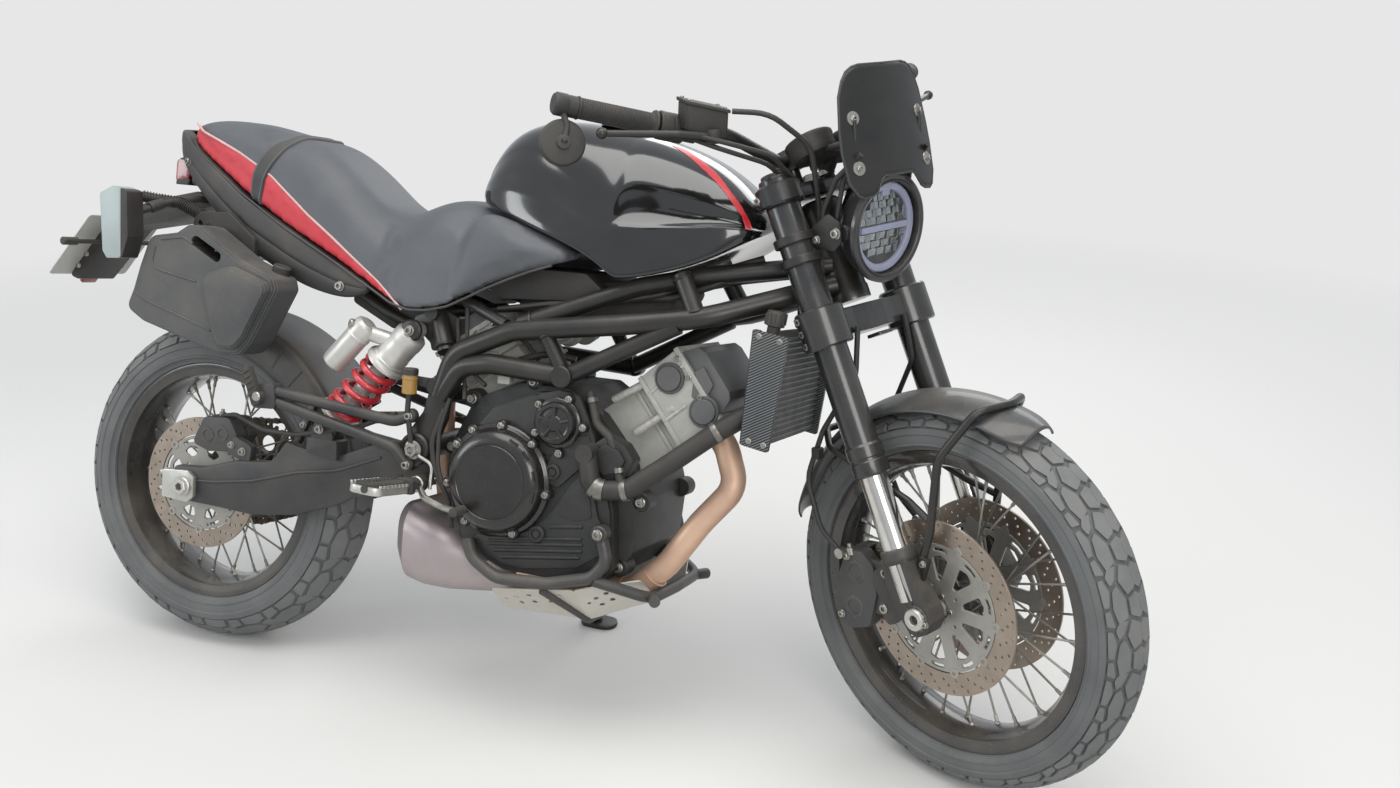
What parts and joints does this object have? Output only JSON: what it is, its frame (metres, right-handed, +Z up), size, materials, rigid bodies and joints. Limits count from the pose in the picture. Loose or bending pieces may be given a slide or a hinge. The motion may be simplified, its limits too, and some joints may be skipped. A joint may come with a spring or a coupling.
{
  "type": "scrambler motorcycle",
  "caption": "Scrambler motorcycle with tubular trellis frame, open twin engine, wire wheels, small fly screen and low skid plate, leaning on its side stand.",
  "frame": {"origin": "floor level under the middle of the bounding box of the parked motorcycle", "axes": "+X forward along the rear wheel and the chassis, +Y to the rider's left, where it leans onto its side stand, +Z up"},
  "size_m": [2.1734, 0.8948, 1.1754],
  "materials": {
    "tyre_rubber": "worn dusty tread",
    "rim_black": "gloss black with dust",
    "spoke_steel": "plated, dull",
    "disc_steel": "swept bright, dusty carrier",
    "frame_black": "satin black",
    "swingarm_black": "satin black, dusty",
    "bolt_steel": "zinc plated",
    "axle_alloy": "bare alloy",
    "case_grey": "dark grey cast finish",
    "cover_black": "semi gloss black",
    "head_alloy": "sand cast, light grey",
    "header_steel": "heat tinted",
    "silencer_steel": "heat tinted, pale",
    "skid_alloy": "bare sheet",
    "tank_paint": "gloss black with red edge stripe",
    "seat_cover": "grey and black vinyl with red panels",
    "tail_plastic": "black",
    "shock_alloy": "bright alloy",
    "spring_red": "gloss red",
    "plastic_black": "moulded, dusty",
    "can_plastic": "moulded, scuffed",
    "hose_rubber": "black",
    "chain_steel": "oily",
    "lamp_grey": "smoked lens",
    "lens_glass": "clear",
    "fork_black": "satin black",
    "fork_lower": "chrome stanchions, cast feet",
    "grip_rubber": "ribbed",
    "guard_black": "black",
    "caliper_grey": "dark grey anodised",
    "radiator_alloy": "black core, grey guards"
  },
  "bodies": {
    "chassis": {"rear_axle": "axle_alloy", "swingarm": "swingarm_black", "main_frame": "frame_black", "pivot_bolt": "bolt_steel", "engine_case": "case_grey", "engine_covers": "cover_black", "cylinders": "head_alloy", "radiator": "radiator_alloy", "coolant_hoses": "hose_rubber", "exhaust_headers": "header_steel", "silencer_box": "silencer_steel", "guard_tubes": "frame_black", "skid_plate": "skid_alloy", "fuel_tank": "tank_paint", "seat": "seat_cover", "tail_panel": "tail_plastic", "rear_frame": "frame_black", "airbox": "plastic_black", "shock_body": "shock_alloy", "shock_spring": "spring_red", "shock_bracket": "frame_black", "rear_brake": "caliper_grey", "rear_hugger": "guard_black", "peg_hangers": "swingarm_black", "foot_levers": "bolt_steel", "drive_chain": "chain_steel", "plate_carrier": "plastic_black", "rear_lamps": "lamp_grey", "side_can": "can_plastic", "can_bracket": "bolt_steel", "stand_bracket": "frame_black"},
    "steering": {"fork_tubes": "fork_black", "fork_lowers": "fork_lower", "triple_clamps": "fork_black", "handlebar": "frame_black", "bar_clamps": "bolt_steel", "grips": "grip_rubber", "bar_controls": "plastic_black", "bar_end_mirror": "plastic_black", "headlight_shell": "cover_black", "headlight_lens": "lens_glass", "headlight_bracket": "frame_black", "fly_screen": "guard_black", "instruments": "plastic_black", "front_mudguard": "guard_black", "mudguard_stays": "frame_black", "front_calipers": "caliper_grey", "brake_hoses": "hose_rubber"},
    "front_wheel": {"front_tyre": "tyre_rubber", "front_rim": "rim_black", "front_spokes": "spoke_steel", "front_discs": "disc_steel"},
    "rear_wheel": {"rear_tyre": "tyre_rubber", "rear_rim": "rim_black", "rear_spokes": "spoke_steel", "rear_disc": "disc_steel", "rear_sprocket": "chain_steel"},
    "side_stand": {"side_stand": "frame_black"}
  },
  "joints": [
    {"name": "steering_turn", "type": "hinge", "parent": "chassis", "child": "steering", "pos_m": [0.76171, -0.15914, 0.31613], "axis": [-0.4178, 0.2124, 0.8833], "range_deg": [-6, 62]},
    {"name": "front_wheel_spin", "type": "hinge", "parent": "steering", "child": "front_wheel", "pos_m": [0.78368, -0.16931, 0.32897], "axis": [0.4273, 0.904, -0.0153], "continuous": true},
    {"name": "rear_wheel_spin", "type": "hinge", "parent": "chassis", "child": "rear_wheel", "pos_m": [-0.70136, -0.15836, 0.3142], "axis": [0.0008, 0.9724, -0.2334], "continuous": true},
    {"name": "side_stand_fold", "type": "hinge", "parent": "chassis", "child": "side_stand", "pos_m": [-0.08897, -0.02464, 0.20509], "axis": [0.0171, 0.8941, 0.4476], "range_deg": [0, 98]}
  ]
}
